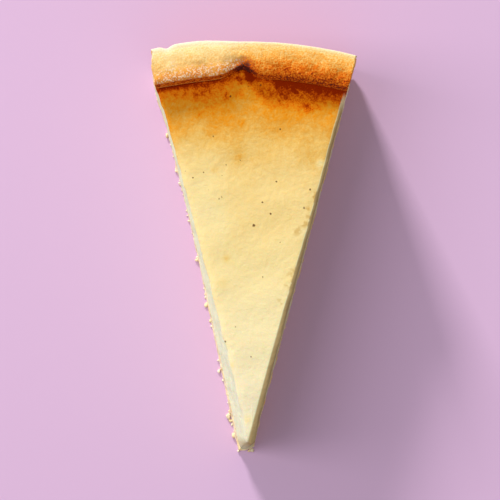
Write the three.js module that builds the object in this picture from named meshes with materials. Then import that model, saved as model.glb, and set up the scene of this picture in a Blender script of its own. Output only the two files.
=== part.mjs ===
// A wedge of baked cheesecake, as it is cut from a round cake of 26 cm: a shortcrust shell, with a floor and a
// raised rim at the back, and the set cheese filling that was baked in it.
//
// Units are millimetres and degrees, with +Z up. The wedge rests on its floor at z = 0 and points to -Y, so the
// rim is at +Y. The origin is under the middle of its length. The shapes are worked out in cake coordinates:
// radius is the distance from the cake's centre, across runs from -1 at the left cut to +1 at the right cut,
// and height is above the table.

import * as THREE from "three";

// The whole wedge.
const CAKE_RADIUS = 130;
const RIM_HEIGHT = 45.5;
const NOSE_RADIUS_LOW = 4.6; // from the cake's centre to the nose, at the table
const NOSE_RADIUS_HIGH = 9.4; // and at the top, where the knife has pulled the nose back
const NOSE_ROUNDING = 1;
const NOSE_TURN = 0.7; // how far its foot faces to the left

// The two cuts meet in a point: low down it lies past the cake's centre, and at the top short of it, because
// the soft sides lean out towards the table.
const CUT_ANGLE_LOW = 13.85;
const CUT_ANGLE_HIGH = 15.15;
const CUT_POINT_LOW = -3.8;
const CUT_POINT_HIGH = 11.9;
const NOSE_HALF_WIDTH = 0.9; // the top never gets narrower than this
const NOSE_SWAY_LOW = -0.6; // how far the nose stands to the right, at the table
const NOSE_SWAY_HIGH = 1.6; // and at the top
const CUT_WAVE = 0.3;
const LEFT_BOW = 0.7; // how far the foot of the left cut is hollowed half way along
const CRUMB_WAVE = 0.35;
const FRAY = 0.9; // the left cut has broken in at the rim, and bulges out in front of it

// The shell.
const FLOOR_THICKNESS = 6;
const WALL_THICKNESS = 8.6;
const RIM_THICKNESS = 10.9;
const HEEL_ROUNDING = 4.5; // outside, between floor and wall
const BED_ROUNDING = 5; // inside, between floor and wall
const EDGE_HEIGHT = 44.7; // the crest that stood against the tin
const LIP_TOP = 44.1;
const LIP_LIFT = 0.4; // how much higher the lip stands on the left
const LIP_HEIGHT = 41.7; // where the rim hangs over the filling the most
const LIP_DEPTH = 3.4; // from there down to the plain wall
const LIP_ROUNDING = 0.8;
const RIM_WAVE = 0.35;
const RIM_BULGE = 1; // the rim stands out a little on the left

// The pleat, left of the rim's middle, where the dough was folded.
const PLEAT_MIDDLE = -3;
const PLEAT_LEFT = 7.5; // how far it spreads to either side
const PLEAT_RIGHT = 5.2;
const PLEAT_DEPTH = 3.1; // how far the lip draws back
const PLEAT_DROP = 1.1; // how far the rim sinks there

// The small piece broken out of the rim's outer edge near its left end.
const CHIP_PLACE = -0.83; // from -1 at the left cut to 1 at the right cut
const CHIP_HALF_WIDTH = 0.08;
const CHIP_DEPTH = 0.9;

// The filling.
const FILLING_HEIGHT = 40.9; // where it meets the rim
const FILLING_SAG = 1.5; // how much lower it has set towards the cake's centre
const NOSE_SAG = 2.2; // and at the nose
const TOP_WAVE = 0.15;
const EDGE_ROUNDING_LEFT = 0.9; // along the left cut
const EDGE_ROUNDING_RIGHT = 0.5; // and along the right cut
const FIT_GAP = 0.3;

const GOLDEN_ANGLE = Math.PI * (3 - Math.sqrt(5));
const LENGTH_MIDDLE = (CAKE_RADIUS + NOSE_RADIUS_LOW) / 2;

const radians = (degrees) => (degrees * Math.PI) / 180;
const mix = (from, to, share) => from + (to - from) * share;
const clamp = (value, low, high) => Math.min(Math.max(value, low), high);

function smoothstep(from, to, value) {
  const share = clamp((value - from) / (to - from), 0, 1);
  return share * share * (3 - 2 * share);
}

// A hump of height 1 at the middle that fades to 0 within half a width on either side.
const hump = (distance, halfWidth) => Math.exp(-((distance / halfWidth) ** 2) * 2.2);

// Gentle unevenness between about -1 and 1: plane waves, each turned by the golden angle and a little shorter.
function unevenness(x, y, wavelength, seed) {
  const waves = 5;
  let sum = 0;
  for (let i = 0; i < waves; i += 1) {
    const turn = GOLDEN_ANGLE * (i + seed);
    const along = x * Math.cos(turn) + y * Math.sin(turn);
    sum += Math.sin((2 * Math.PI * 1.27 ** i * along) / wavelength + 1.7 * (i + seed));
  }
  return sum / (0.7 * waves);
}

// ---- Where the cuts run ----

// Half the wedge's width at a radius, for a cut at this angle through this point. It stays blunt at the nose.
function cutReach(radius, angle, point, least) {
  const straight = (radius - point) * Math.sin(radians(angle));
  return (straight + Math.hypot(straight, 2 * least)) / 2;
}

// Cake coordinates to a point in the part's frame.
function place(radius, across, height) {
  const share = height / RIM_HEIGHT;
  const low = cutReach(radius, CUT_ANGLE_LOW, CUT_POINT_LOW, 0.5);
  const high = cutReach(radius, CUT_ANGLE_HIGH, CUT_POINT_HIGH, NOSE_HALF_WIDTH);
  const reach = mix(low, high, share);
  const side = Math.sign(across);
  const crumbs = CRUMB_WAVE * (1 - smoothstep(FLOOR_THICKNESS - 1, FLOOR_THICKNESS + 1, height));
  const relief =
    CUT_WAVE * unevenness(radius, height, 17, 3 + side) + crumbs * unevenness(radius, height, 5.5, 8 + side);
  const calm = smoothstep(0, 2, height) * smoothstep(NOSE_RADIUS_LOW, NOSE_RADIUS_HIGH + 8, radius);
  const brokenIn = smoothstep(CAKE_RADIUS - 5.5, CAKE_RADIUS, radius) - hump(radius - CAKE_RADIUS + 10.5, 8);
  const bow = LEFT_BOW * (1 - share) * hump(radius - CAKE_RADIUS / 2 - 10, 45);
  const fray = side < 0 ? FRAY * brokenIn + bow : 0;
  const onCut = smoothstep(0.8, 1, Math.abs(across)) * (side * relief * calm + fray);
  const turn = across * Math.asin(reach / radius);
  const toNose = clamp((CAKE_RADIUS - radius) / (CAKE_RADIUS - NOSE_RADIUS_HIGH), 0, 1);
  const sway = NOSE_SWAY_LOW * (1 - share) * toNose ** 2 + NOSE_SWAY_HIGH * share * toNose;
  return [
    radius * Math.sin(turn) + sway + onCut,
    radius * Math.cos(turn) - LENGTH_MIDDLE,
    height,
  ];
}

// The nose leans back as it rises, is rounded from side to side and faces a little to the left at its foot.
function noseRadius(height, across) {
  const share = clamp(height / FILLING_HEIGHT, 0, 1);
  const rounded = NOSE_ROUNDING * across * across + NOSE_TURN * (1 - share) * across;
  return mix(NOSE_RADIUS_LOW, NOSE_RADIUS_HIGH, share ** 1.3) + rounded;
}

// ---- The shell's outlines, as radius and height ----

// Arc length round the rim from its middle.
const rimArc = (across) => across * CAKE_RADIUS * radians(CUT_ANGLE_LOW);
function pleat(across) {
  const distance = rimArc(across) - PLEAT_MIDDLE;
  return hump(distance, distance < 0 ? PLEAT_LEFT : PLEAT_RIGHT);
}

function outerOutline(along, across) {
  const foot = CAKE_RADIUS - HEEL_ROUNDING;
  if (along <= 0.5) return [mix(noseRadius(0, across), foot, along / 0.5), 0];
  if (along <= 0.6) {
    const turn = radians(mix(-90, 0, (along - 0.5) / 0.1));
    return [foot + HEEL_ROUNDING * Math.cos(turn), HEEL_ROUNDING * (1 + Math.sin(turn))];
  }
  const height = mix(HEEL_ROUNDING, EDGE_HEIGHT, (along - 0.6) / 0.4);
  const wave = 0.25 * RIM_WAVE * (unevenness(rimArc(across), height, 16, 5) * smoothstep(2, 8, height) - 1);
  const bulge = RIM_BULGE * smoothstep(-0.1, -0.6, across) * smoothstep(8, 40, height);
  const chip = CHIP_DEPTH * hump(across - CHIP_PLACE, CHIP_HALF_WIDTH) * smoothstep(34, 42, height);
  return [CAKE_RADIUS + wave + bulge - chip, height];
}

// The wall's inner face, which swells into the lip at the top. inset moves it towards the filling.
function wallRadius(height, across, inset = 0) {
  const wall = CAKE_RADIUS - WALL_THICKNESS;
  const draw = PLEAT_DEPTH * pleat(across);
  const lip = CAKE_RADIUS - RIM_THICKNESS + draw;
  const rise = smoothstep(LIP_HEIGHT - LIP_DEPTH, LIP_HEIGHT, height);
  const rolled = LIP_ROUNDING * clamp((height - LIP_HEIGHT) / (LIP_TOP - LIP_HEIGHT), 0, 1) ** 2;
  const corner = clamp((FLOOR_THICKNESS + BED_ROUNDING - height) / BED_ROUNDING, 0, 1);
  const bed = BED_ROUNDING * (1 - Math.sqrt(1 - corner * corner));
  return mix(wall, lip, rise) + rolled - bed - inset;
}

function innerOutline(along, across) {
  const foot = CAKE_RADIUS - WALL_THICKNESS - BED_ROUNDING;
  if (along <= 0.5)
    return [mix(noseRadius(FLOOR_THICKNESS, across), foot, along / 0.5), FLOOR_THICKNESS];
  if (along <= 0.6) {
    const turn = radians(mix(-90, 0, (along - 0.5) / 0.1));
    return [foot + BED_ROUNDING * Math.cos(turn), FLOOR_THICKNESS + BED_ROUNDING * (1 + Math.sin(turn))];
  }
  const top = LIP_TOP + LIP_LIFT * smoothstep(0.3, -0.35, across) - 0.6 * PLEAT_DROP * pleat(across);
  const height = mix(FLOOR_THICKNESS + BED_ROUNDING, top, (along - 0.6) / 0.4);
  return [wallRadius(height, across), height];
}

// How far the rim's crown stands above the straight line from its outer edge to its lip.
function crown(through, across) {
  const fullness = Math.sqrt(Math.sin(Math.PI * through ** 1.4));
  const dome = RIM_HEIGHT - (EDGE_HEIGHT + LIP_TOP) / 2;
  const wave = RIM_WAVE * unevenness(rimArc(across), through * RIM_THICKNESS, 13, 6);
  const groove = 0.2 * hump(through - 0.12, 0.07);
  const sunk = PLEAT_DROP * pleat(across) * smoothstep(0.55, 0.95, through);
  return (dome + wave - groove - sunk) * fullness;
}

// along runs from the nose to the rim's top, and through from the outside in.
function shellPoint(along, through, across) {
  const [outerRadius, outerHeight] = outerOutline(along, across);
  const [innerRadius, innerHeight] = innerOutline(along, across);
  const inside = through > 0 && through < 1;
  const lift = inside ? crown(through, across) * smoothstep(0.9, 1, along) : 0;
  const radius = mix(outerRadius, innerRadius, through);
  const height = mix(outerHeight, innerHeight, through) + lift;
  return place(radius, across, height);
}

// ---- The filling ----

// The set top: it sags towards the middle of the cake, swells up in the pleat and rounds off along the cuts.
function fillingHeight(radius, across) {
  const share = clamp((CAKE_RADIUS - WALL_THICKNESS - radius) / CAKE_RADIUS, 0, 1);
  const sag = FILLING_SAG * smoothstep(0, 0.55, share);
  const nose = NOSE_SAG * Math.exp(-(radius - NOSE_RADIUS_HIGH) / 6);
  const reach = cutReach(radius, CUT_ANGLE_HIGH, CUT_POINT_HIGH, NOSE_HALF_WIDTH);
  const rounding = across < 0 ? EDGE_ROUNDING_LEFT : EDGE_ROUNDING_RIGHT;
  const round = rounding * Math.exp((-(1 - Math.abs(across)) * reach) / rounding);
  const swell = 0.9 * pleat(across) * smoothstep(108, 120, radius);
  const wave = TOP_WAVE * unevenness(radius, across * reach, 29, 1);
  return FILLING_HEIGHT - sag - nose - round + swell + wave;
}

function fillingPoint(outward, up, across) {
  const bed = FLOOR_THICKNESS + FIT_GAP;
  const edge = CAKE_RADIUS - RIM_THICKNESS;
  const back = wallRadius(mix(bed, fillingHeight(edge, across), up), across, FIT_GAP);
  const radius = mix(noseRadius(mix(bed, FILLING_HEIGHT, up), across), back, outward);
  return place(radius, across, mix(bed, fillingHeight(radius, across), up));
}

// ---- Skins of bent blocks ----

// Steps from one share of an edge to another, spaced by the given weights, one weight for each cell.
function steps(weights, from = 0, to = 1) {
  const total = weights.reduce((sum, weight) => sum + weight, 0);
  const places = [from];
  for (const weight of weights) places.push(places[places.length - 1] + ((to - from) * weight) / total);
  places[places.length - 1] = to;
  return places;
}

const even = (count, weight = 1) => Array(count).fill(weight);

// The closed surface of a block that point bends into shape. a, b and c list the steps along its three edges.
function blockSkin(a, b, c, point) {
  const numbers = new Map();
  const positions = [];
  const triangles = [];
  const corner = (i, j, k) => {
    const key = `${i},${j},${k}`;
    if (!numbers.has(key)) {
      numbers.set(key, positions.length / 3);
      positions.push(...point(a[i], b[j], c[k]));
    }
    return numbers.get(key);
  };
  const quad = (p, q, r, s) => triangles.push(p, q, r, p, r, s);
  const [la, lb, lc] = [a.length - 1, b.length - 1, c.length - 1];
  for (let i = 0; i < la; i += 1)
    for (let j = 0; j < lb; j += 1) {
      quad(corner(i, j, 0), corner(i, j + 1, 0), corner(i + 1, j + 1, 0), corner(i + 1, j, 0));
      quad(corner(i, j, lc), corner(i + 1, j, lc), corner(i + 1, j + 1, lc), corner(i, j + 1, lc));
    }
  for (let i = 0; i < la; i += 1)
    for (let k = 0; k < lc; k += 1) {
      quad(corner(i, 0, k), corner(i + 1, 0, k), corner(i + 1, 0, k + 1), corner(i, 0, k + 1));
      quad(corner(i, lb, k), corner(i, lb, k + 1), corner(i + 1, lb, k + 1), corner(i + 1, lb, k));
    }
  for (let j = 0; j < lb; j += 1)
    for (let k = 0; k < lc; k += 1) {
      quad(corner(0, j, k), corner(0, j, k + 1), corner(0, j + 1, k + 1), corner(0, j + 1, k));
      quad(corner(la, j, k), corner(la, j + 1, k), corner(la, j + 1, k + 1), corner(la, j, k + 1));
    }
  const geometry = new THREE.BufferGeometry();
  geometry.setAttribute("position", new THREE.Float32BufferAttribute(positions, 3));
  geometry.setIndex(triangles);
  geometry.computeVertexNormals();
  return geometry;
}

// Across the wedge the cells are narrow along both cuts, at the chip and in the pleat.
const acrossCells = [0.25, 0.6, ...even(4, 0.5), ...even(5), ...even(6, 0.75), ...even(7), 0.6, 0.25];
const acrossSteps = steps(acrossCells).map((share) => 2 * share - 1);

function named(name, geometry, color, roughness) {
  const mesh = new THREE.Mesh(geometry, new THREE.MeshStandardMaterial({ color, roughness, metalness: 0 }));
  mesh.name = name;
  return mesh;
}

// ---- The pastry shell: floor, wall and rim in one piece ----

const alongSteps = [
  ...steps(even(22), 0, 0.5),
  ...steps(even(4), 0.5, 0.6).slice(1),
  ...steps([...even(6, 1.6), ...even(6, 0.6)], 0.6, 1).slice(1),
];
const throughSteps = steps([0.5, 0.7, ...even(4), 0.7, 0.5]);
const shell = named(
  "pastry_shell",
  blockSkin(alongSteps, throughSteps, acrossSteps, shellPoint),
  0xd9a55c,
  0.85,
);

// ---- The cheese filling, which fills the shell from cut to cut ----

const outwardSteps = steps([0.4, 0.7, ...even(24), 0.7, 0.5]);
const upSteps = steps([0.3, 0.45, 0.6, 1, 1.5, 1.5, 1, 0.6, 0.25]);
const filling = named(
  "cheese_filling",
  blockSkin(outwardSteps, upSteps, acrossSteps, fillingPoint),
  0xf3dfa6,
  0.6,
);

const cheesecake = new THREE.Group();
cheesecake.add(shell, filling);

export default cheesecake;
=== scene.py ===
import math

import bpy
import numpy as np
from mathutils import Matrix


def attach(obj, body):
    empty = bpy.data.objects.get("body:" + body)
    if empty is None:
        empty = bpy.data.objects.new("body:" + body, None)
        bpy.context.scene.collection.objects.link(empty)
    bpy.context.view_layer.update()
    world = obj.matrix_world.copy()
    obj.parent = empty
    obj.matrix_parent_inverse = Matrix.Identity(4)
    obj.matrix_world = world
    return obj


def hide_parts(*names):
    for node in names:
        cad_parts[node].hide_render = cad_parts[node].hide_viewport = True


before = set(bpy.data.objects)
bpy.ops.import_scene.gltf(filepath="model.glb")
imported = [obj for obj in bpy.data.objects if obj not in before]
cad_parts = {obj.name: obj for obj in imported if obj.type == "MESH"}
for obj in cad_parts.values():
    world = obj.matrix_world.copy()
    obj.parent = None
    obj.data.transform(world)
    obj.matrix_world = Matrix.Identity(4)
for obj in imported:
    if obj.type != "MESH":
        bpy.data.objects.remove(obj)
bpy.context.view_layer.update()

# ---- The pastry shell ----
# The case the cheese was baked in: a flat floor, a wall and a thick rolled rim with one pleat in it, which has burnt.
# It is sandy shortcrust, browned evenly where it stood against the tin and darkest along the rim's inner edge. The
# knife has gone through it on both sides and left its pale crumb open.
# Lengths are in millimetres. A place in the cake is its radius from the cake's centre, how far across the wedge
# it is (-1 at the left cut, 1 at the right cut) and its height above the table.

MM = 0.001
CAKE_RADIUS = 130.0
RIM_HEIGHT = 45.5
NOSE_RADIUS_LOW = 4.6
NOSE_RADIUS_HIGH = 9.4
NOSE_ROUNDING = 1.0
NOSE_TURN = 0.7
NOSE_HALF_WIDTH = 0.9
NOSE_SWAY_LOW = -0.6
NOSE_SWAY_HIGH = 1.6
LENGTH_MIDDLE = (CAKE_RADIUS + NOSE_RADIUS_LOW) / 2
CUT_LOW = (13.85, -3.8, 0.5)  # angle, where the two cuts meet, least half width
CUT_HIGH = (15.15, 11.9, NOSE_HALF_WIDTH)
CUT_WAVE = 0.18
LEFT_BOW = 0.7
FRAY = 0.9

FLOOR_THICKNESS = 6.0
WALL_THICKNESS = 8.6
RIM_THICKNESS = 10.9
HEEL_ROUNDING = 4.5
BED_ROUNDING = 5.0
EDGE_HEIGHT = 44.7
LIP_TOP = 44.1
LIP_LIFT = 0.4
LIP_HEIGHT = 41.7
LIP_DEPTH = 3.4
LIP_ROUNDING = 0.8
RIM_WAVE = 0.22
RIM_BULGE = 1.0
PLEAT_MIDDLE = -3.0
PLEAT_LEFT = 7.5
PLEAT_RIGHT = 5.2
PLEAT_DEPTH = 3.1
PLEAT_DROP = 1.1
LEFT_RIDGE = 0.4
CHIP_PLACE = -0.83
CHIP_HALF_WIDTH = 0.08
CHIP_DEPTH = 0.9

GOLDEN_ANGLE = math.pi * (3 - math.sqrt(5))


def mix(start, stop, share):
    """The value a share of the way from start to stop."""
    return start + (stop - start) * share


def smoothstep(start, stop, value):
    """0 before start and 1 past stop, with an S between: 3 s^2 - 2 s^3 of the share s covered."""
    share = np.clip((value - start) / (stop - start), 0, 1)
    return share * share * (3 - 2 * share)


def hump(distance, half_width):
    """1 at the middle and nearly 0 a half width away: e to the minus 2.2 times the squared share."""
    return np.exp(-2.2 * (distance / half_width) ** 2)


def unevenness(x, y, wavelength, seed):
    """Gentle waves: five sines across the plane, each turned by the golden angle and 1.27 times as close."""
    waves = 0
    for wave in range(5):
        turn = GOLDEN_ANGLE * (wave + seed)
        along = x * math.cos(turn) + y * math.sin(turn)
        waves = waves + np.sin(2 * math.pi * 1.27**wave * along / wavelength + 1.7 * (wave + seed))
    return waves / 3.5


def grain(points, size, seed):
    """Lumps of a given size: random heights, -1 to 1, on the corners of a cubic lattice, eased between them."""
    heights = np.random.default_rng(seed).uniform(-1, 1, (48, 48, 48))
    cell = points / size
    corner = np.floor(cell).astype(int)
    share = cell - corner
    share = share * share * (3 - 2 * share)
    eased = 0
    for step in np.ndindex(2, 2, 2):
        weight = np.prod(np.where(step, share, 1 - share), axis=-1)
        eased = eased + weight * heights[tuple(((corner + step) % 48).T)]
    return eased


def cut_reach(radius, angle, meeting, least):
    """Half the wedge's width: the straight cut's, eased so that it never gets under the least one."""
    straight = (radius - meeting) * math.sin(math.radians(angle))
    return (straight + np.hypot(straight, 2 * least)) / 2


def place(radius, across, height):
    """A place in the cake as a point: the cuts' reach at this height, turned into an angle about the centre, then
    the nose's sway and the waves left by the knife."""
    share = height / RIM_HEIGHT
    reach = mix(cut_reach(radius, *CUT_LOW), cut_reach(radius, *CUT_HIGH), share)
    side = np.sign(across)
    wave = np.where(side < 0, unevenness(radius, height, 17, 2), unevenness(radius, height, 17, 4))
    calm = smoothstep(0, 2, height) * smoothstep(NOSE_RADIUS_LOW, NOSE_RADIUS_HIGH + 8, radius)
    broken_in = smoothstep(CAKE_RADIUS - 5.5, CAKE_RADIUS, radius) - hump(radius - CAKE_RADIUS + 10.5, 8)
    bow = LEFT_BOW * (1 - share) * hump(radius - CAKE_RADIUS / 2 - 10, 45)
    fray = np.where(side < 0, FRAY * broken_in + bow, 0)
    on_cut = smoothstep(0.8, 1, np.abs(across)) * (side * CUT_WAVE * wave * calm + fray)
    turn = across * np.arcsin(reach / radius)
    to_nose = np.clip((CAKE_RADIUS - radius) / (CAKE_RADIUS - NOSE_RADIUS_HIGH), 0, 1)
    sway = NOSE_SWAY_LOW * (1 - share) * to_nose**2 + NOSE_SWAY_HIGH * share * to_nose
    x = radius * np.sin(turn) + sway + on_cut
    return np.stack([x, radius * np.cos(turn) - LENGTH_MIDDLE, height + 0 * x], axis=-1)


def nose_radius(height, across):
    """The nose leans back as it rises, is rounded from side to side and faces a little to the left at its foot."""
    share = np.clip(height / 40.9, 0, 1)
    rounded = NOSE_ROUNDING * across**2 + NOSE_TURN * (1 - share) * across
    return mix(NOSE_RADIUS_LOW, NOSE_RADIUS_HIGH, share**1.3) + rounded


def rim_arc(across):
    """How far round the rim from its middle."""
    return across * CAKE_RADIUS * math.radians(CUT_LOW[0])


def pleat(across):
    """The fold left of the rim's middle: a hump that spreads further to the left than to the right."""
    distance = rim_arc(across) - PLEAT_MIDDLE
    return hump(distance, np.where(distance < 0, PLEAT_LEFT, PLEAT_RIGHT))


def left_side(across):
    """1 left of the pleat and 0 right of it, with an S between."""
    return smoothstep(0.3, -0.35, across)


def wall_radius(height, across, inset=0.0):
    """The wall's inner face: plain, swelling into the rolled lip at the top and curving into the floor below."""
    lip = CAKE_RADIUS - RIM_THICKNESS + PLEAT_DEPTH * pleat(across)
    rise = smoothstep(LIP_HEIGHT - LIP_DEPTH, LIP_HEIGHT, height)
    rolled = LIP_ROUNDING * np.clip((height - LIP_HEIGHT) / (LIP_TOP - LIP_HEIGHT), 0, 1) ** 2
    corner = np.clip((FLOOR_THICKNESS + BED_ROUNDING - height) / BED_ROUNDING, 0, 1)
    bed = BED_ROUNDING * (1 - np.sqrt(1 - corner * corner))
    return mix(CAKE_RADIUS - WALL_THICKNESS, lip, rise) + rolled - bed - inset


def outer_outline(along, across):
    """Under the floor from the nose, round the heel, and up the wall: radius and height."""
    foot = CAKE_RADIUS - HEEL_ROUNDING
    turn = np.radians(mix(-90, 0, np.clip((along - 0.5) / 0.1, 0, 1)))
    wall_height = mix(HEEL_ROUNDING, EDGE_HEIGHT, (along - 0.6) / 0.4)
    wave = 0.25 * RIM_WAVE * (unevenness(rim_arc(across), wall_height, 16, 5) * smoothstep(2, 8, wall_height) - 1)
    chip = CHIP_DEPTH * hump(across - CHIP_PLACE, CHIP_HALF_WIDTH) * smoothstep(34, 42, wall_height)
    bulge = RIM_BULGE * smoothstep(-0.1, -0.6, across) * smoothstep(8, 40, wall_height) - chip
    under, heel = along <= 0.5, along <= 0.6
    radius = np.select(
        [under, heel],
        [mix(nose_radius(0, across), foot, along / 0.5), foot + HEEL_ROUNDING * np.cos(turn)],
        CAKE_RADIUS + wave + bulge,
    )
    height = np.select([under, heel], [0 * along, HEEL_ROUNDING * (1 + np.sin(turn))], wall_height)
    return radius, height


def inner_outline(along, across):
    """Over the floor from the nose, round the bed's corner, and up the wall to the lip: radius and height."""
    foot = CAKE_RADIUS - WALL_THICKNESS - BED_ROUNDING
    turn = np.radians(mix(-90, 0, np.clip((along - 0.5) / 0.1, 0, 1)))
    top = LIP_TOP + LIP_LIFT * left_side(across) - 0.6 * PLEAT_DROP * pleat(across)
    wall_height = mix(FLOOR_THICKNESS + BED_ROUNDING, top, (along - 0.6) / 0.4)
    under, bend = along <= 0.5, along <= 0.6
    radius = np.select(
        [under, bend],
        [mix(nose_radius(FLOOR_THICKNESS, across), foot, along / 0.5), foot + BED_ROUNDING * np.cos(turn)],
        wall_radius(wall_height, across),
    )
    bend_height = FLOOR_THICKNESS + BED_ROUNDING * (1 + np.sin(turn))
    height = np.select([under, bend], [FLOOR_THICKNESS + 0 * along, bend_height], wall_height)
    return radius, height


def crown(through, across):
    """How far the rim stands above the straight line from its outer edge to its lip: a full dome with a shallow
    groove behind the thin fin at its edge, sunk at the pleat."""
    fullness = np.sqrt(np.sin(np.pi * np.clip(through, 0, 1) ** 1.4).clip(0))
    dome = RIM_HEIGHT - (EDGE_HEIGHT + LIP_TOP) / 2
    wave = RIM_WAVE * unevenness(rim_arc(across), through * RIM_THICKNESS, 13, 6)
    groove = 0.2 * hump(through - 0.12, 0.07)
    sunk = PLEAT_DROP * pleat(across) * smoothstep(0.55, 0.95, through)
    return (dome + wave - groove - sunk) * fullness


def shell_point(along, through, across):
    """A place between the outer outline and the inner one, lifted by the crown where the rim ends on top."""
    outer_radius, outer_height = outer_outline(along, across)
    inner_radius, inner_height = inner_outline(along, across)
    lift = crown(through, across) * smoothstep(0.9, 1, along)
    height = mix(outer_height, inner_height, through) + lift
    return place(mix(outer_radius, inner_radius, through), across, height)


def steps(*runs):
    """Steps along an edge of a block, from runs of even cells: (start, stop, cells) each."""
    starts = [np.linspace(start, stop, cells, endpoint=False) for start, stop, cells in runs]
    return np.concatenate([*starts, [runs[-1][1]]])


def quads(sheet):
    """Four-sided faces between the numbers of a sheet of points."""
    return np.stack([sheet[:-1, :-1], sheet[1:, :-1], sheet[1:, 1:], sheet[:-1, 1:]], axis=-1).reshape(-1, 4)


def hidden(sheet, stride):
    """Wide faces for a sheet nobody sees: every stride-th column, with many-sided faces along its first and last
    rows that keep each point they share with their neighbours."""
    wide = sheet[:, ::stride]
    faces = quads(wide[1:-1]).tolist()
    for column in range(wide.shape[1] - 1):
        span = slice(column * stride, (column + 1) * stride + 1)
        faces.append([wide[1, column], wide[1, column + 1], *sheet[0, span][::-1]])
        faces.append([wide[-2, column], *sheet[-1, span], wide[-2, column + 1]])
    return faces


def skin_faces(fine, wide, stride):
    """The faces of a skin, from its fine sheets and the hidden ones with wide faces."""
    faces = [face for sheet in fine for face in quads(sheet)]
    return faces + [face for sheet in wide for face in hidden(sheet, stride)]


def bent_block(name, edges, shape, sheets):
    """A closed mesh bent from a block. edges are the steps along its three edges, shape turns three arrays of
    steps into points, and sheets picks the faces of its skin out of the block's numbering. Gives the object
    and the three steps of each of its points."""
    sizes = [edge.size for edge in edges]
    faces = [[int(corner) for corner in face] for face in sheets(np.arange(np.prod(sizes)).reshape(sizes))]
    used, numbers = np.unique(np.concatenate(faces), return_inverse=True)
    ends = np.cumsum([len(face) for face in faces])[:-1]
    where = [edge[index] for edge, index in zip(edges, np.unravel_index(used, sizes))]
    mesh = bpy.data.meshes.new(name)
    mesh.from_pydata(shape(*where) * MM, [], [part.tolist() for part in np.split(numbers, ends)])
    mesh.shade_smooth()
    piece = bpy.data.objects.new(name, mesh)
    bpy.context.scene.collection.objects.link(piece)
    return piece, where


def roughen(piece, depth):
    """Moves each point of a piece out along its normal by depth, worked out from its place."""
    vertices = piece.data.vertices
    points = np.empty(len(vertices) * 3)
    normals = np.empty(len(vertices) * 3)
    vertices.foreach_get("co", points)
    vertices.foreach_get("normal", normals)
    points, normals = points.reshape(-1, 3) / MM, normals.reshape(-1, 3)
    moved = points + normals * depth(points)[:, None]
    vertices.foreach_set("co", (moved * MM).ravel())
    piece.data.update()
    return moved


def keep(piece, name, values):
    """Stores one number for each point of a piece, for its material to read."""
    piece.data.attributes.new(name, "FLOAT", "POINT").data.foreach_set("value", values.astype(np.float32))


FLOOR_CELLS, HEEL_CELLS, WALL_CELLS, LIP_CELLS = 290, 12, 76, 18
SHELL_STRIDE = 12
shell_edges = [
    steps((0, 0.5, FLOOR_CELLS), (0.5, 0.6, HEEL_CELLS), (0.6, 0.93, WALL_CELLS), (0.93, 1, LIP_CELLS)),
    steps((0, 0.2, 10), (0.2, 0.8, 16), (0.8, 1, 6)),
    steps((-1, 1, 20 * SHELL_STRIDE)),
]


def shell_sheets(number):
    """The shell's skin: fine on both cuts, the rim, the wall, the lip and the nose, wide under the floor and the
    cheese."""
    outer, inner, nose = number[:, 0], number[::-1, -1], number[0, ::-1]
    fine = [number[::-1, :, 0], number[:, :, -1], number[-1], outer[FLOOR_CELLS:], inner[: LIP_CELLS + 1], nose]
    wide = [outer[: FLOOR_CELLS + 1], inner[LIP_CELLS:]]
    return skin_faces(fine, wide, SHELL_STRIDE)


shell, (along, through, across) = bent_block("pastry_shell_skin", shell_edges, shell_point, shell_sheets)
on_cut = np.maximum(np.abs(across) > 0.999, along < 0.001) * 1.0
on_rim = smoothstep(0.955, 0.985, along)
on_wall = (along > 0.5) * (through < 0.001) * 1.0


def rim_spot(across, through, arc, half_width, depth, half_depth):
    """A hump on the rim: how far round the rim it lies and how far through it, with its half widths."""
    return hump(rim_arc(across) - arc, half_width) * hump(through - depth, half_depth)


def burnt(across, through):
    """The lump in the pleat that has burnt: two humps side by side at the rim's inner edge."""
    left_half = rim_spot(across, through, -4.4, 2.2, 1.0, 0.16)
    right_half = rim_spot(across, through, -1.6, 2.7, 0.97, 0.26)
    return np.minimum(left_half + right_half, 1)


def shell_depth(points):
    """Open crumb on the cuts, with torn pits between the grains, and a sandy skin with blisters and pits elsewhere.
    The rim's inner edge stands up in a ridge on the left. The burnt lump in the pleat stands up and is cracked."""
    coarse, middle, fine = grain(points, 2.6, 11), grain(points, 1.25, 12), grain(points, 0.6, 13)
    crumb = 0.12 * coarse + 0.2 * middle + 0.17 * fine - 0.35 * smoothstep(0.25, 0.7, -middle)
    rough = mix(0.35, 1.2, smoothstep(0.15, 0.7, through))
    blisters = 0.1 * smoothstep(0.3, 0.8, grain(points, 2.1, 14))
    pits = 0.12 * smoothstep(0.35, 0.8, grain(points, 1.5, 15))
    sandy = rough * (0.06 * fine + 0.05 * grain(points, 0.9, 16) + blisters - pits)
    lump = burnt(across, through) * (0.45 + 0.4 * middle + 0.2 * fine)
    ridge = LEFT_RIDGE * left_side(across) * smoothstep(0.6, 0.93, through) * smoothstep(1.0, 0.97, through)
    skin = sandy + (lump + ridge) * on_rim
    seen = np.maximum(on_cut, np.maximum(on_rim, on_wall))
    return seen * (on_cut * crumb + (1 - on_cut) * skin) * smoothstep(0.1, 1.2, points[:, 2])


shell_points = roughen(shell, shell_depth)

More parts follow.
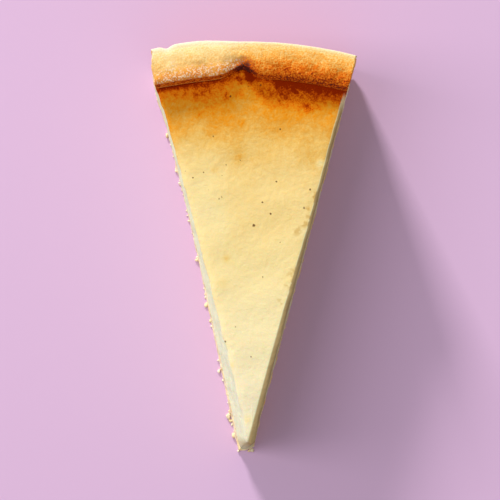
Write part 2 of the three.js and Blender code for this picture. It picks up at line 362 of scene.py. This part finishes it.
# How far each part of the pastry has baked: 0 is pale, 1 is dark brown and past it is burnt. On the rim it goes by
# the place between the outer edge and the lip; on the cuts the crumb is pale, with a browned line along the wall. On
# the right cut the crumb is also painted darker as shade.
from_edge = [0, 0.09, 0.18, 0.37, 0.55, 0.64, 0.73, 0.83, 0.92, 0.97, 1]
pale_side = np.interp(through, from_edge, [0.03, 0.12, 0.2, 0.26, 0.32, 0.4, 0.5, 0.59, 0.62, 0.64, 0.8])
dark_side = np.interp(through, from_edge, [0.08, 0.25, 0.36, 0.43, 0.53, 0.62, 0.69, 0.74, 0.76, 0.79, 0.88])
rim_bake = mix(dark_side, pale_side, left_side(across)) - 0.06 * rim_spot(across, through, 4, 5, 0.9, 0.25)
wall_bake = mix(0.58, 0.46, shell_points[:, 2] / RIM_HEIGHT)
skin = np.exp(-through * RIM_THICKNESS / 0.7) * smoothstep(0.5, 0.62, along)
crumb_bake_and_shade = 0.02 + 0.1 * smoothstep(0, 5, shell_points[:, 2]) + 0.4 * skin + 0.06 * grain(shell_points, 3, 17)
# The right cut's crumb is painted darker: shade, as that cut faces away from the light.
crumb_bake_and_shade = crumb_bake_and_shade + 0.15 * (across > 0.999)
charred = burnt(across, through)
keep(shell, "bake_and_shade", mix(mix(crumb_bake_and_shade, wall_bake, on_wall), rim_bake + 0.44 * charred, on_rim))
keep(shell, "against_tin", on_wall * smoothstep(0.985, 0.93, along))

# Pale specks on the rim's left half, thickest in front of its outer corner and beside the pleat: sugary bits, and
# painted glints of light on them.
sugar_and_glint_mask = 0.85 * smoothstep(0.05, -0.3, across) * smoothstep(0.5, 0.82, through)
sugar_and_glint_mask = sugar_and_glint_mask + 1.2 * rim_spot(across, through, -25.5, 2.2, 0.55, 0.2)
sugar_and_glint_mask = sugar_and_glint_mask + 0.4 * rim_spot(across, through, -9, 5, 0.66, 0.2)
keep(shell, "sugar_and_glints", np.clip(sugar_and_glint_mask, 0, 1) * on_rim * smoothstep(1.0, 0.94, through) * (1 - charred))


def new_material(name):
    """A material with a bare node tree: its Principled shader joined to the output."""
    material = bpy.data.materials.new(name)
    material.use_nodes = True
    tree = material.node_tree
    tree.nodes.clear()
    shader = tree.nodes.new("ShaderNodeBsdfPrincipled")
    output = tree.nodes.new("ShaderNodeOutputMaterial")
    tree.links.new(shader.outputs["BSDF"], output.inputs["Surface"])
    return material, tree, shader


def add(tree, kind, inputs, **settings):
    """A node of a kind, each of its inputs a value or the output of another node."""
    node = tree.nodes.new("ShaderNode" + kind)
    for setting, value in settings.items():
        setattr(node, setting, value)
    for name, value in inputs.items():
        if isinstance(value, bpy.types.NodeSocket):
            tree.links.new(value, node.inputs[name])
        else:
            node.inputs[name].default_value = value
    return node


def combine(tree, operation, first, second=0.0):
    """One number worked out from two."""
    return add(tree, "Math", {0: first, 1: second}, operation=operation).outputs[0]


def read(tree, name):
    """A number stored on the piece."""
    return add(tree, "Attribute", {}, attribute_name=name).outputs["Fac"]


def lumps(tree, size, detail=2.0, roughness=0.5):
    """Noise about half a unit either way of 0, with lumps of a size in millimetres, fixed to the piece."""
    coordinates = add(tree, "TexCoord", {}).outputs["Object"]
    inputs = {"Vector": coordinates, "Scale": 1 / (size * MM), "Detail": detail, "Roughness": roughness}
    return combine(tree, "SUBTRACT", add(tree, "TexNoise", inputs).outputs["Fac"], 0.5)


def colours(tree, factor, stops):
    """A run of colours, each given as its place from 0 to 1 and its red, green and blue."""
    node = add(tree, "ValToRGB", {"Fac": factor})
    ramp = node.color_ramp
    while len(ramp.elements) < len(stops):
        ramp.elements.new(0.5)
    for element, (position, colour) in zip(ramp.elements, stops):
        element.position = position
        element.color = (*colour, 1)
    return node.outputs["Color"]


def bump(tree, height, depth):
    """A normal for relief too fine for the mesh, its depth in millimetres."""
    inputs = {"Height": height, "Distance": depth * MM, "Strength": 1.0}
    return add(tree, "Bump", inputs).outputs["Normal"]


def total(tree, *parts):
    """The sum of numbers, each times its share."""
    result = 0.0
    for value, share in parts:
        result = add(tree, "Math", {0: value, 1: share, 2: result}, operation="MULTIPLY_ADD").outputs[0]
    return result


def paint(tree, share, under, over):
    """A share of one colour over another."""
    return add(tree, "Mix", {0: share, 6: under, 7: over}, data_type="RGBA").outputs[2]


# The crust goes from straw through orange-brown to char as it bakes, unevenly, in grains of sand.
FULLY_BAKED = 1.25
# The colour of the pale specks: sugar, and painted glints of light.
SUGAR_AND_GLINT = (0.98, 0.72, 0.44, 1)
TIN_BROWN = (0.34, 0.155, 0.05, 1)
PASTRY_COLOURS = [
    (0.0, (0.93, 0.83, 0.62)),
    (0.22, (0.90, 0.64, 0.27)),
    (0.42, (0.87, 0.42, 0.08)),
    (0.62, (0.82, 0.21, 0.011)),
    (0.80, (0.62, 0.095, 0.003)),
    (0.92, (0.30, 0.032, 0.004)),
    (1.05, (0.17, 0.025, 0.012)),
    (1.2, (0.08, 0.014, 0.011)),
]
pastry, tree, shader = new_material("baked_shortcrust")
blotches, grains, sand, glint_grains = lumps(tree, 4.5), lumps(tree, 1.4), lumps(tree, 0.5), lumps(tree, 0.5)
uneven = total(tree, (blotches, 0.15), (grains, 0.35), (sand, 1.25))
strength = total(tree, (read(tree, "bake_and_shade"), 1.05), (1.0, 0.06))
baked_and_shaded = total(tree, (read(tree, "bake_and_shade"), 1.0), (combine(tree, "MULTIPLY", uneven, strength), 1.0))
stops = [(stage / FULLY_BAKED, colour) for stage, colour in PASTRY_COLOURS]
crust = colours(tree, combine(tree, "MULTIPLY", baked_and_shaded, 1 / FULLY_BAKED), stops)
# Pale specks over the crust: sugary bits, and painted glints of light.
sugar_and_glint_share = combine(tree, "MULTIPLY", read(tree, "sugar_and_glints"), total(tree, (glint_grains, 9.0), (1.0, 0.15)))
sugar_and_glint_share = add(tree, "Clamp", {"Value": sugar_and_glint_share, "Min": 0.0, "Max": 0.85}).outputs[0]
crust = paint(tree, sugar_and_glint_share, crust, SUGAR_AND_GLINT)
crust = paint(tree, combine(tree, "MULTIPLY", read(tree, "against_tin"), 0.85), crust, TIN_BROWN)
tree.links.new(crust, shader.inputs["Base Color"])
tree.links.new(total(tree, (grains, 0.2), (1.0, 0.75)), shader.inputs["Roughness"])
tree.links.new(bump(tree, total(tree, (sand, 1.0), (grains, 0.6)), 0.14), shader.inputs["Normal"])
shader.inputs["Specular IOR Level"].default_value = 0.04
shell.data.materials.append(pastry)
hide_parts("pastry_shell")
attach(shell, "root")

# ---- The cheese filling ----
# Cream cheese and egg, poured into the shell and baked until it set. Its top has sagged a little towards the middle
# of the cake and browned towards the rim, where the heat was strongest. Cut with a knife, it shows pale and close.

FILLING_HEIGHT = 40.9
FILLING_SAG = 1.5
NOSE_SAG = 2.2
TOP_WAVE = 0.15
EDGE_ROUNDING_LEFT = 0.9
EDGE_ROUNDING_RIGHT = 0.5
FILLING_FIT = -0.15  # it sticks to the shell
SEAM_INSET = 0.3


def filling_height(radius, across):
    """The set top: level at the rim, lower towards the cake's centre and at the nose, swelling up into the pleat,
    rounded off along the cuts, with slow waves."""
    share = np.clip((CAKE_RADIUS - WALL_THICKNESS - radius) / CAKE_RADIUS, 0, 1)
    sag = FILLING_SAG * smoothstep(0, 0.55, share)
    nose = NOSE_SAG * np.exp(-(radius - NOSE_RADIUS_HIGH) / 6)
    reach = cut_reach(radius, *CUT_HIGH)
    rounding = np.where(across < 0, EDGE_ROUNDING_LEFT, EDGE_ROUNDING_RIGHT)
    rounded = rounding * np.exp(-(1 - np.abs(across)) * reach / rounding)
    swell = 0.9 * pleat(across) * smoothstep(108, 120, radius)
    wave = TOP_WAVE * unevenness(radius, across * reach, 29, 1)
    return FILLING_HEIGHT - sag - nose - rounded + swell + wave


def filling_point(outward, up, across):
    """A place between nose and wall and between bed and top. It falls back a little along its seam with the
    shell on the cuts."""
    bed = FLOOR_THICKNESS + FILLING_FIT
    back = wall_radius(mix(bed, filling_height(CAKE_RADIUS - RIM_THICKNESS, across), up), across, FILLING_FIT)
    radius = mix(nose_radius(mix(bed, FILLING_HEIGHT, up), across), back, outward)
    height = mix(bed, filling_height(radius, across), up)
    to_seam = np.minimum(height - bed, back - radius)
    inset = SEAM_INSET * np.exp(-to_seam / 0.5) / np.maximum(cut_reach(radius, *CUT_HIGH), 3)
    return place(radius, across * (1 - inset), height)


FILLING_STRIDE = 10
BACK_CELLS = 40
filling_edges = [
    steps((0, 0.03, 12), (0.03, 0.97, 256), (0.97, 1, 10)),
    steps((0, 0.04, 4), (0.04, 0.9, BACK_CELLS - 4), (0.9, 1, 10)),
    steps((-1, -0.94, 8), (-0.94, 0.94, 134), (0.94, 1, 8)),
]


def filling_sheets(number):
    """The filling's skin: fine on top, on both cuts, at the nose and at the back's upper edge, wide where the shell
    holds it."""
    back, nose = number[-1], number[0, ::-1]
    fine = [number[::-1, :, 0], number[:, :, -1], number[::-1, -1], back[BACK_CELLS:], nose]
    wide = [number[:, 0], back[: BACK_CELLS + 1]]
    return skin_faces(fine, wide, FILLING_STRIDE)


filling, (outward, up, across) = bent_block("cheese_filling_skin", filling_edges, filling_point, filling_sheets)
on_cut = np.maximum(np.abs(across) > 0.999, outward < 0.001) * 1.0
on_top = (up > 0.999) * 1.0


def filling_depth(points):
    """Faint drag lines and small pores on the cuts and the nose, whose corners are worn off, and a skin that is
    smooth near the nose and pebbled by the rim."""
    drawn = points * (1, 1, 0.15)
    pores = 0.15 * smoothstep(0.5, 0.9, grain(points, 1.1, 23))
    cut = 0.06 * grain(drawn, 2.6, 21) + 0.07 * grain(points, 0.7, 22) - pores
    near_top = smoothstep(5, 0, FILLING_HEIGHT - points[:, 2])
    crumbly = np.where(across < 0, 0.3, 0.12) * grain(points, 2.2, 29) * near_top
    radius = np.hypot(points[:, 0], points[:, 1] + LENGTH_MIDDLE)
    to_cut = (1 - np.abs(across)) * cut_reach(radius, *CUT_HIGH)
    to_corner = np.abs(radius - nose_radius(points[:, 2], across)) + to_cut
    worn = 0.45 * np.exp(-to_corner / 0.9)
    near_rim = smoothstep(70, 116, radius)
    top = 0.03 * grain(points, 1.4, 24) + near_rim * 0.06 * grain(points, 1.9, 25) + 0.05 * grain(points, 5, 26)
    return on_cut * (cut + crumbly - worn) + on_top * (1 - on_cut) * top


filling_points = roughen(filling, filling_depth)

# Where the top has browned: by its distance from the cake's centre, in slow blotches, and darkest under the lip,
# where its last two millimetres also carry painted shade of the crevice between the lip and the filling.
radius = np.hypot(filling_points[:, 0], filling_points[:, 1] + LENGTH_MIDDLE)
blotches = grain(filling_points, 9, 27) + 0.6 * grain(filling_points, 4, 28)
distances = [14, 44, 66, 92, 101, 106, 110, 113, 115, 117, 118, 119]
stages = [0, 0.18, 0.36, 0.51, 0.62, 0.71, 0.795, 0.84, 0.87, 0.93, 0.98, 1.04]
browned_and_shaded = np.interp(radius, distances, stages)
spread = smoothstep(60, 104, radius) * (1 - 0.7 * smoothstep(106, 114, radius))
browned_and_shaded = browned_and_shaded + blotches * mix(0.015, 0.06, spread)
darker_right = 0.04 * hump(across - 0.4, 0.4) * smoothstep(109, 114, radius)
darker_lip_right = 0.03 * smoothstep(0.2, 0.5, across) * smoothstep(113, 116, radius)
# Painted shade in the crevice under the lip on the left.
crevice_shade_left = 0.05 * smoothstep(-0.1, -0.4, across) * smoothstep(116.6, 118.2, radius)
paler_left = 0.13 * smoothstep(-0.2, -0.7, across) * hump(radius - 84, 22)
paler_sides = 0.05 * smoothstep(0.5, 0.8, np.abs(across)) * hump(radius - 112, 5)
paler_pleat = 0.1 * pleat(across) * smoothstep(108, 116, radius)
paler_lip_left = 0.08 * smoothstep(0.35, 0.0, across) * smoothstep(115, 118, radius)
browned_and_shaded = browned_and_shaded + darker_right + darker_lip_right + crevice_shade_left
browned_and_shaded = browned_and_shaded - paler_left - paler_sides - paler_pleat - paler_lip_left


def from_spot(x, y):
    """How far each point of the filling is from an upright line."""
    return np.hypot(filling_points[:, 0] - x, filling_points[:, 1] - y)


# Marks on the skin, each given as its place, its radius and how much browner it is; small dark specks, each its place
# and its radius; and scuffs along the right cut, torn into flecks.
MARKS = [
    (17.8, 14, 3.0, 0.05), (11.8, -8, 3.0, 0.05), (-7, -2, 1.7, 0.2), (-5, -34, 1.1, 0.22),
    (-3.8, 28.2, 2.4, 0.12), (-8, -9.4, 2.6, 0.09), (16, 6, 2.8, -0.12), (20.6, 27, 1.7, -0.25),
    (-4.3, 54, 1.3, 0.2), (-1.4, 53.4, 1.6, 0.25), (-3.4, 50.6, 1.8, 0.1), (5, 50.5, 2.2, -0.08),
    (-0.5, 51.4, 2.2, 0.14), (-4.3, 51.8, 1.2, 0.1), (-16.7, 46.6, 1.1, 0.08), (-7.9, 46.4, 1.3, 0.08),
    (10.4, 46, 1.5, 0.08), (19.9, 43.8, 1.2, 0.1), (-3.7, 47.2, 3.0, 0.08), (-15, 38.5, 3.0, -0.04),
    (3.2, 44.1, 3.0, -0.04), (12.2, 42, 3.0, -0.06), (0, -50.5, 1.9, 0.24), (-3, 38.5, 1.5, 0.1),
    (16.5, 43.5, 2.2, 0.08), (-11, 24.5, 1.8, 0.12), (-15.5, 41, 1.2, 0.1),
]
SPECKS = [
    (1, 8, 0.42), (6, 11.5, 0.3), (-6.5, 46.5, 0.28), (-11.5, 34.5, 0.25), (8.5, 37, 0.28), (16, 13.5, 0.3),
    (2.5, 50, 0.28), (3.5, 15, 0.28), (-7.5, 26, 0.22), (14, -7.5, 0.2), (-4, -22.5, 0.22), (-7, -27, 0.28),
]
SCUFFS = [
    (18.4, 16.6, 2.4), (17.3, 12, 2.2), (16.2, 8.6, 1.6), (14, 6.6, 1.9),
    (12.8, -6.2, 2.2), (11.8, -9.4, 2.0), (10, -14.5, 2.2),
]
STREWN = 22
for x, y, size, strength in MARKS:
    browned_and_shaded = browned_and_shaded + strength * hump(from_spot(x, y), size)
scuffed = np.zeros(len(filling_points))
for x, y, size in SCUFFS:
    scuffed = np.maximum(scuffed, hump(from_spot(x, y), size))
torn = grain(filling_points, 1.3, 29) + 0.6 * grain(filling_points, 0.7, 30)
scuffed = np.clip(1.6 * scuffed, 0, 1) * smoothstep(-0.15, 0.45, torn)
keep(filling, "bake_and_shade", browned_and_shaded + 0.17 * scuffed)
chance = np.random.default_rng(31)
places = chance.uniform(-22, 22, STREWN), chance.uniform(-35, 50, STREWN)
strewn = zip(*places, chance.uniform(0.12, 0.27, STREWN))
from_speck = np.full(len(filling_points), 9.0)
for x, y, size in [*SPECKS, *strewn]:
    from_speck = np.minimum(from_speck, from_spot(x, y) / size)
keep(filling, "speck", from_speck)

# Along the right cut the colour is painted darker as shade: over the last millimetre or so of the top, where the
# skin's colour is left out, and down the cut face, fading with depth. The scuffs on the top take the same darker
# colour. How far a point lies under the skin decides how much of the skin's colour it shows.
under = np.maximum(filling_height(radius, across) - filling_points[:, 2] - EDGE_ROUNDING_LEFT * on_top, 0)
to_edge = (1 - across) * cut_reach(radius, *CUT_HIGH)
right_edge_shade = smoothstep(1.4, 0.9, to_edge / mix(0.75, 1.15, smoothstep(75, 40, radius))) * smoothstep(119, 112, radius)
shade_and_scuffs = np.maximum(right_edge_shade, np.minimum(4 * scuffed, 1) * on_top)
keep(filling, "shade_and_scuffs", shade_and_scuffs * np.exp(-under / 30))
keep(filling, "under", under + 2 * np.maximum(right_edge_shade, 0.11 * scuffed))

# The skin goes from cream through ochre to red-brown as it bakes; the cheese under it is paler and a little green.
SKIN_COLOURS = [
    (0.0, (0.895, 0.806, 0.565)),
    (0.18, (0.93, 0.784, 0.445)),
    (0.36, (0.935, 0.735, 0.34)),
    (0.50, (0.915, 0.655, 0.25)),
    (0.62, (0.84, 0.51, 0.13)),
    (0.71, (0.80, 0.39, 0.06)),
    (0.80, (0.83, 0.30, 0.013)),
    (0.87, (0.83, 0.19, 0.004)),
    (0.94, (0.56, 0.075, 0.002)),
    (1.0, (0.30, 0.022, 0.001)),
]
CHEESE = (0.88, 0.93, 0.60, 1)
# An olive brown: painted shade on the right cut and its edge, and the colour of the scuffs.
CHEESE_SHADE_AND_SCUFFS = (0.42, 0.29, 0.13, 1)
SPECK = (0.12, 0.045, 0.012, 1)
cheese, tree, shader = new_material("set_cheese")
mottle, speckle, pores = lumps(tree, 4), lumps(tree, 1.5), lumps(tree, 0.5)
uneven = total(tree, (mottle, 0.08), (speckle, 0.25), (pores, 0.3))
strength = combine(tree, "POWER", read(tree, "bake_and_shade"), 1.5)
baked_and_shaded = total(tree, (read(tree, "bake_and_shade"), 1.0), (combine(tree, "MULTIPLY", uneven, strength), 0.9), (speckle, 0.04))
skin_colour = colours(tree, baked_and_shaded, SKIN_COLOURS)
depth = combine(tree, "MULTIPLY", read(tree, "under"), -1.6)
skin_share = combine(tree, "POWER", math.e, depth)
specked = total(tree, (read(tree, "speck"), -1.6), (pores, 2.0), (1.0, 2.2))
specked = add(tree, "Clamp", {"Value": specked, "Min": 0.0, "Max": 0.9}).outputs[0]
skin_colour = paint(tree, specked, skin_colour, SPECK)
# The cut is the pale cheese, painted darker as shade along the right cut and darker in the scuffs.
cut_colour = paint(tree, read(tree, "shade_and_scuffs"), CHEESE, CHEESE_SHADE_AND_SCUFFS)
tree.links.new(paint(tree, skin_share, cut_colour, skin_colour), shader.inputs["Base Color"])
tree.links.new(total(tree, (mottle, 0.2), (1.0, 0.5)), shader.inputs["Roughness"])
tree.links.new(bump(tree, total(tree, (speckle, 1.0), (pores, 0.5)), 0.12), shader.inputs["Normal"])
pale = total(tree, (read(tree, "bake_and_shade"), -0.4), (read(tree, "shade_and_scuffs"), -0.3), (1.0, 0.3))
pale = add(tree, "Clamp", {"Value": pale}).outputs[0]
tree.links.new(pale, shader.inputs["Subsurface Weight"])
shader.inputs["Subsurface Radius"].default_value = (1.0, 0.55, 0.25)
shader.inputs["Subsurface Scale"].default_value = 2.5 * MM
shader.inputs["Specular IOR Level"].default_value = 0
filling.data.materials.append(cheese)
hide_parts("cheese_filling")
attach(filling, "root")

# ---- The crumbs ----
# Bits of shortcrust that broke off under the knife. They lie against the foot of the left cut and the nose, some in
# small heaps, all on the table.

CRUMB_CELLS = 3
CRUMBS = 46


def crumb_lumps(directions, seed):
    """The skin of a crumb: a ball of radius 1 whose radius swells and shrinks with grains two thirds its size."""
    return directions * (1 + 0.75 * grain(directions + 7 * seed, 0.9, 41))[:, None]


lattice = np.stack(np.meshgrid(*[np.linspace(-1, 1, CRUMB_CELLS + 1)] * 3, indexing="ij"), axis=-1).reshape(-1, 3)
number = np.arange(len(lattice)).reshape((CRUMB_CELLS + 1,) * 3)
sheets = [number[::-1, :, 0], number[:, :, -1], number[:, 0], number[::-1, -1], number[0, ::-1], number[-1]]
used, faces = np.unique(np.concatenate([quads(sheet) for sheet in sheets]), return_inverse=True)
faces = faces.reshape(-1, 4)
ball = lattice[used] / np.linalg.norm(lattice[used], axis=1)[:, None]

# Where they lie: how far out from the cake's centre, how far from the foot of the cut and how big; the first are
# the ones that stand out.
chance = np.random.default_rng(42)
radii = np.array([4.4, 4.6, 4.9, 9.6, 14.4, 15.6, 17.2, 30.2, 33.9, 52.1, 66.7, 67.6, 79.4, 95.8, 107.2])
offsets = np.array([0.0, -3.4, -4.3, 0.5, 0.3, 1.0, 0.2, 0.9, 0.3, 0.3, 0.4, 0.2, 0.2, 0.2, 0.5])
sizes = np.array([0.45, 0.6, 0.45, 0.65, 0.5, 0.8, 0.5, 0.6, 0.45, 0.6, 0.7, 0.5, 0.45, 0.5, 0.8])
others = CRUMBS - len(radii)
radii = np.append(radii, chance.uniform(6, 116, others))
sizes = np.append(sizes, chance.uniform(0.18, 0.42, others))
offsets = np.append(offsets, chance.uniform(-0.1, 0.35, others))
centres = place(radii, np.full(CRUMBS, -1.0), 0.55 * sizes)
centres[:, 0] -= offsets
stretch = chance.uniform(0.6, 1.45, (CRUMBS, 1, 3)) * (1, 1, 0.8)
skins = np.stack([crumb_lumps(ball, seed) for seed in range(CRUMBS)])
points = centres[:, None] + skins * stretch * sizes[:, None, None]
points[:, :, 2] = np.maximum(points[:, :, 2], 0)
mesh = bpy.data.meshes.new("shortcrust_crumbs")
all_faces = (faces[None] + len(ball) * np.arange(CRUMBS)[:, None, None]).reshape(-1, 4)
mesh.from_pydata(points.reshape(-1, 3) * MM, [], all_faces.tolist())
mesh.shade_smooth()
crumbs = bpy.data.objects.new("shortcrust_crumbs", mesh)
bpy.context.scene.collection.objects.link(crumbs)
keep(crumbs, "bake_and_shade", np.repeat(chance.uniform(-0.05, 0.15, CRUMBS), len(ball)))
crumbs.data.materials.append(pastry)
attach(crumbs, "root")

# ---- The floor ----
# A plain pale lilac sheet under the wedge.

FLOOR_SIZE = 2.4
corners = np.array([(-1, -1, 0), (1, -1, 0), (1, 1, 0), (-1, 1, 0)]) * FLOOR_SIZE / 2
mesh = bpy.data.meshes.new("floor")
mesh.from_pydata(corners, [], [(0, 1, 2, 3)])
floor = bpy.data.objects.new("floor", mesh)
bpy.context.scene.collection.objects.link(floor)
lilac, tree, shader = new_material("lilac_sheet")
shader.inputs["Base Color"].default_value = (0.695, 0.455, 0.68, 1)
shader.inputs["Roughness"].default_value = 0.85
mesh.materials.append(lilac)

# ---- The light and the camera ----
# A small low window behind the rim and to its left, a tall soft one on the left, and the pale room all round. The
# camera looks straight down.


def window(name, turn, height, distance, size, power, colour):
    """A soft light turned from behind the rim towards the left and raised by two angles, facing the wedge."""
    light = bpy.data.lights.new(name, "AREA")
    light.shape = "RECTANGLE"
    light.size, light.size_y = size
    light.energy = power
    light.color = colour
    lamp = bpy.data.objects.new(name, light)
    bpy.context.scene.collection.objects.link(lamp)
    turn, height = math.radians(turn), math.radians(height)
    level = distance * math.cos(height)
    lamp.location = (-level * math.sin(turn), level * math.cos(turn), distance * math.sin(height))
    lamp.rotation_euler = (-lamp.location.normalized()).to_track_quat("-Z", "Y").to_euler()


window("low_window", 22.5, 22.5, 2.4, (0.36, 0.44), 57.5, (1.0, 0.985, 0.96))
window("tall_window", 84, 54, 2.2, (0.8, 1.8), 18, (1.0, 1.0, 1.0))

scene = bpy.context.scene
scene.world = bpy.data.worlds.new("room")
scene.world.use_nodes = True
room = scene.world.node_tree.nodes["Background"]
room.inputs["Color"].default_value = (0.97, 1.0, 1.0, 1)
room.inputs["Strength"].default_value = 0.39
scene.view_settings.view_transform = "Standard"

CAMERA_HEIGHT = 0.7
CAMERA_TURN = math.radians(0.85)
CAMERA_SHIFT = 0.6 * MM
camera = bpy.data.objects.new("camera", bpy.data.cameras.new("camera"))
camera.data.sensor_width = 36
camera.data.lens = 158.5
camera.location = (0, CAMERA_SHIFT, CAMERA_HEIGHT)
camera.rotation_euler = (0, 0, CAMERA_TURN)
scene.collection.objects.link(camera)
scene.camera = camera
